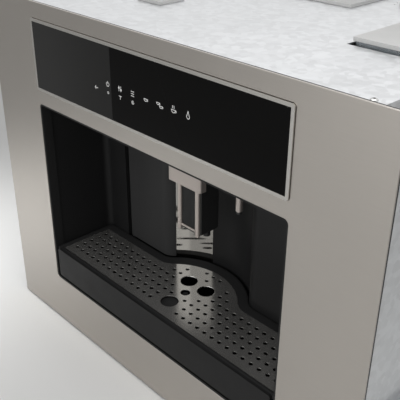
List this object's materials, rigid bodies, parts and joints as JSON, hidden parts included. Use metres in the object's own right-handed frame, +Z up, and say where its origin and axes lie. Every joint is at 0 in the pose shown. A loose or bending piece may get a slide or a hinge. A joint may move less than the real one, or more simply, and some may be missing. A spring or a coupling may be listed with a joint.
{
  "type": "built-in coffee machine",
  "caption": "Built-in coffee machine with a steel front, dark glass control strip, lit cup niche, height-adjustable spout, drip tray and a chassis on telescopic rails.",
  "frame": {"origin": "centre of the footprint, on the floor of the cabinet niche", "axes": "+X to the right seen from the front, +Y into the niche, +Z up; the front panel faces -Y"},
  "size_m": [0.595, 0.47, 0.457],
  "materials": {
    "black_gloss": "glossy black",
    "black_plastic": "fine satin",
    "board_green": "circuit board",
    "brass": "turned",
    "brushed_steel": "fine horizontal brushing",
    "cast_aluminium": "as cast",
    "clear_glass": "frosted lamp cover",
    "galvanised": "bright zinc sheet",
    "glass_panel": "smooth dark glass",
    "grey_plastic": "satin dark grey",
    "hose_white": "translucent hose",
    "light_plastic": "satin light grey",
    "polished_steel": "polished",
    "screw_steel": "plated",
    "smoked_plastic": "smoked clear",
    "spout_steel": "fine vertical brushing",
    "tank_plastic": "clear blue-grey"
  },
  "bodies": {
    "base": {"base_frame": "galvanised", "rails_outer": "galvanised"},
    "rails": {"rails_middle": "galvanised"},
    "machine": {"chassis_floor": "galvanised", "side_left": "galvanised", "side_right": "galvanised", "front_bulkhead": "galvanised", "back_panel": "galvanised", "top_panel": "galvanised", "front_carrier": "black_plastic", "panel_screws": "screw_steel", "front_panel": "brushed_steel", "control_frame": "brushed_steel", "control_glass": "glass_panel", "control_housing": "black_plastic", "control_board": "board_green", "niche_bezel": "grey_plastic", "niche_wall_left": "black_gloss", "niche_wall_right": "black_gloss", "recess_plate": "polished_steel", "tray_tub": "black_plastic", "niche_ceiling": "black_plastic", "niche_lamps": "clear_glass", "spout_sleeve": "black_gloss", "spout_band": "brushed_steel", "hot_water_nozzle": "screw_steel", "brew_bay": "black_plastic", "ground_coffee_chute": "black_plastic", "grounds_container": "smoked_plastic", "brew_frame": "grey_plastic", "brew_motor": "black_plastic", "boiler": "cast_aluminium", "pump": "grey_plastic", "grinder_stand": "galvanised", "grinder_motor": "screw_steel", "grinder_housing": "cast_aluminium", "bean_hopper": "smoked_plastic", "tank_seat": "black_plastic", "water_hoses": "hose_white", "power_board": "board_green", "power_inlet": "black_plastic", "rails_inner": "galvanised"},
    "spout": {"spout_body": "black_plastic", "spout_cover": "spout_steel", "spout_window": "black_gloss", "coffee_outlets": "black_plastic"},
    "tray": {"drip_tray": "black_plastic", "tray_front": "grey_plastic"},
    "grid": {"drip_grid": "brushed_steel"},
    "float": {"tray_float": "grey_plastic"},
    "door": {"service_door": "black_gloss"},
    "hopper_lid": {"hopper_lid": "light_plastic"},
    "chute_lid": {"chute_lid": "light_plastic"},
    "tank": {"water_tank": "tank_plastic"},
    "tank_lid": {"tank_lid": "light_plastic"},
    "grind_knob": {"grind_knob": "black_plastic"},
    "burr": {"grinder_burr": "screw_steel"},
    "chamber": {"brew_chamber": "grey_plastic"},
    "spindle": {"brew_spindle": "brass"},
    "switch": {"main_switch": "black_plastic"}
  },
  "joints": [
    {"name": "machine_slide", "type": "slide", "parent": "base", "child": "machine", "axis": [0, -1, 0], "range_m": [0, 0.35]},
    {"name": "rail_slide", "type": "slide", "parent": "base", "child": "rails", "axis": [0, -1, 0], "range_m": [0, 0.175]},
    {"name": "spout_height", "type": "slide", "parent": "machine", "child": "spout", "axis": [0, 0, 1], "range_m": [0, 0.045]},
    {"name": "tray_slide", "type": "slide", "parent": "machine", "child": "tray", "axis": [0, -1, 0], "range_m": [0, 0.14]},
    {"name": "grid_lift", "type": "slide", "parent": "tray", "child": "grid", "axis": [0, 0, 1], "range_m": [0, 0.03]},
    {"name": "float_rise", "type": "slide", "parent": "tray", "child": "float", "axis": [0, 0, 1], "range_m": [0, 0.012]},
    {"name": "service_door_hinge", "type": "hinge", "parent": "machine", "child": "door", "pos_m": [-0.1502, -0.1333, 0.22665], "axis": [0, 0, -1], "range_deg": [0, 95]},
    {"name": "hopper_lid_hinge", "type": "hinge", "parent": "machine", "child": "hopper_lid", "pos_m": [-0.015, 0.1826, 0.4483], "axis": [-1, 0, 0], "range_deg": [0, 100]},
    {"name": "chute_lid_hinge", "type": "hinge", "parent": "machine", "child": "chute_lid", "pos_m": [-0.134, -0.0664, 0.4483], "axis": [-1, 0, 0], "range_deg": [0, 100]},
    {"name": "tank_lift", "type": "slide", "parent": "machine", "child": "tank", "axis": [0, 0, 1], "range_m": [0, 0.12]},
    {"name": "tank_lid_hinge", "type": "hinge", "parent": "tank", "child": "tank_lid", "pos_m": [0.196, 0.0401, 0.4513], "axis": [-1, 0, 0], "range_deg": [0, 100]},
    {"name": "grind_setting", "type": "hinge", "parent": "machine", "child": "grind_knob", "pos_m": [0.092, 0.1116, 0.446], "axis": [0, 0, 1], "range_deg": [-135, 135]},
    {"name": "burr_spin", "type": "hinge", "parent": "machine", "child": "burr", "pos_m": [-0.015, 0.1116, 0.2252], "axis": [0, 0, 1], "continuous": true},
    {"name": "chamber_lift", "type": "slide", "parent": "machine", "child": "chamber", "axis": [0, 0, 1], "range_m": [0, 0.035]},
    {"name": "spindle_turn", "type": "hinge", "parent": "machine", "child": "spindle", "pos_m": [-0.099, -0.0014, 0.2091], "axis": [0, 0, 1], "range_deg": [0, 905]},
    {"name": "main_switch_rock", "type": "hinge", "parent": "machine", "child": "switch", "pos_m": [0.2182, 0.2198, 0.062], "axis": [1, 0, 0], "range_deg": [0, 10]}
  ],
  "couplings": [
    {"joint": "rail_slide", "follows": "machine_slide", "ratio": 0.5},
    {"joint": "spindle_turn", "follows": "chamber_lift", "rad_per_m": 448.8}
  ]
}
